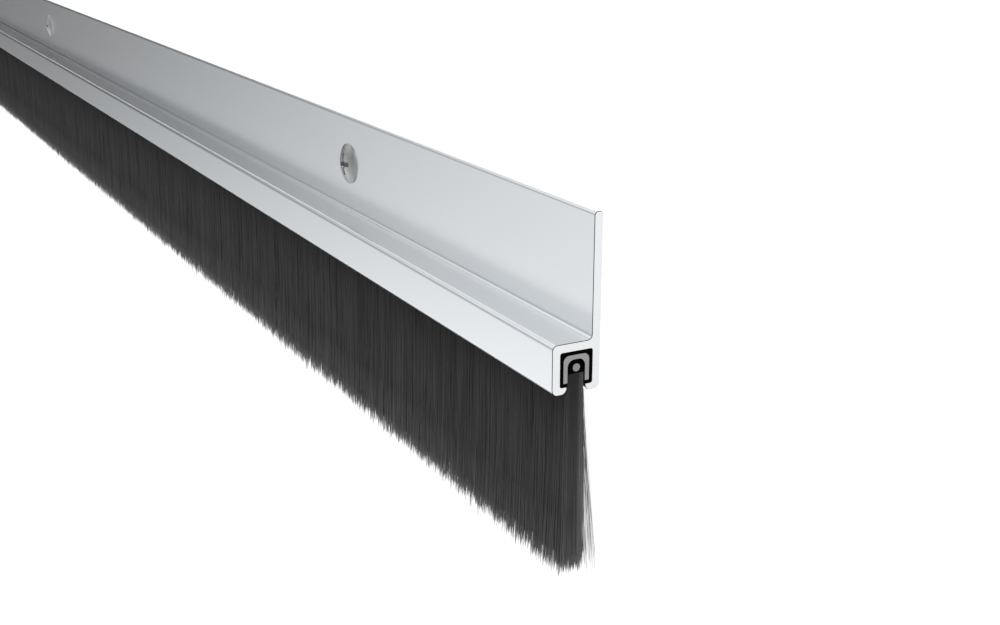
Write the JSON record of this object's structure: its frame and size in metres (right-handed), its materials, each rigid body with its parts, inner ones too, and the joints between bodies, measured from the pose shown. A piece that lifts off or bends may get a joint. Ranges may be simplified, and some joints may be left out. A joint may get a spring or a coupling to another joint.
{
  "type": "brush door sweep",
  "caption": "Straight aluminium door sweep with a screw flange and a channel that holds a black bristle strip to seal the gap under a door.",
  "frame": {"origin": "centre of the carrier's back face, the face that goes against the door, at mid length and mid height", "axes": "+X along the bar towards the near end of the picture, +Y from the brush towards the flange's free edge (up on the door), +Z out of the front face"},
  "size_m": [0.914, 0.0658, 0.0094],
  "materials": {
    "anodised_aluminium": "satin clear anodised",
    "black_liner": "matt black extruded plastic",
    "galvanised_steel": "dull zinc-coated steel",
    "black_bristle": "fine black nylon filaments",
    "screw_steel": "satin stainless steel"
  },
  "bodies": {
    "root": {"carrier_profile": "anodised_aluminium", "channel_liner": "black_liner", "brush_clamp": "galvanised_steel", "core_wire": "galvanised_steel", "bristles": "black_bristle", "screw_near": "screw_steel", "screw_middle": "screw_steel", "screw_far": "screw_steel"}
  },
  "joints": []
}
